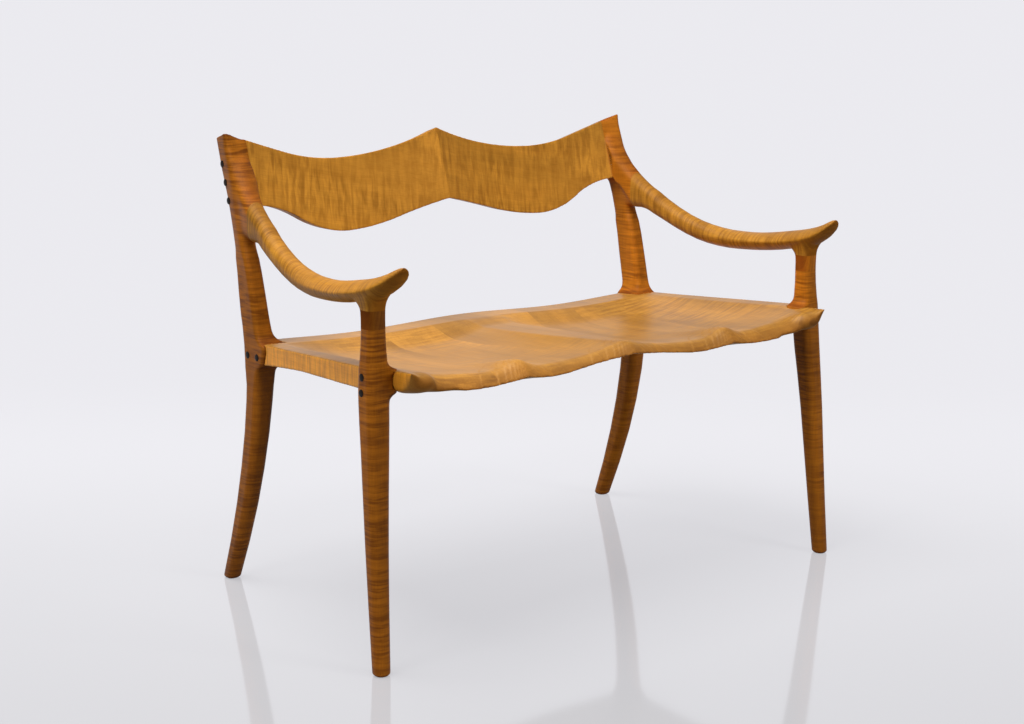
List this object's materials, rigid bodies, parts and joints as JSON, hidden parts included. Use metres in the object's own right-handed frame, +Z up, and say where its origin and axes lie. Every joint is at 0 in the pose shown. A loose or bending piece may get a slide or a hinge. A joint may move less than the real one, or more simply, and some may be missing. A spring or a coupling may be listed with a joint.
{
  "type": "settee",
  "caption": "Low-backed wooden settee with a scooped double seat of glued boards, sculpted arms and legs, a wavy crest rail and dark wooden plugs over its screws.",
  "frame": {"origin": "On the floor, under the middle of the settee's bounding box.", "axes": "+X runs along the width, to the right when the settee is seen from the front; the front faces -Y; +Z is up."},
  "size_m": [1.027, 0.597, 0.7932],
  "materials": {
    "figured_wood": "oiled satin",
    "dark_wood": "oiled satin",
    "dowel_wood": "raw",
    "screw_steel": "bright"
  },
  "bodies": {
    "root": {"seat_board_centre": "figured_wood", "seat_board_right_1": "figured_wood", "seat_board_right_2": "figured_wood", "seat_board_right_3": "figured_wood", "front_leg_right": "figured_wood", "rear_leg_right": "figured_wood", "arm_right": "figured_wood", "arm_block_right": "figured_wood", "crest_right": "figured_wood", "seat_board_left_1": "figured_wood", "seat_board_left_2": "figured_wood", "seat_board_left_3": "figured_wood", "front_leg_left": "figured_wood", "rear_leg_left": "figured_wood", "arm_left": "figured_wood", "arm_block_left": "figured_wood", "crest_left": "figured_wood", "plugs_rear_leg": "dark_wood", "plugs_front_leg": "dark_wood", "plugs_crest": "dark_wood", "screws_rear_leg": "screw_steel", "screws_front_leg": "screw_steel", "screws_crest": "screw_steel", "dowels_arm_rear": "dowel_wood", "dowels_arm_front": "dowel_wood", "dowels_crest": "dowel_wood", "dowels_seat": "dowel_wood"}
  },
  "joints": []
}
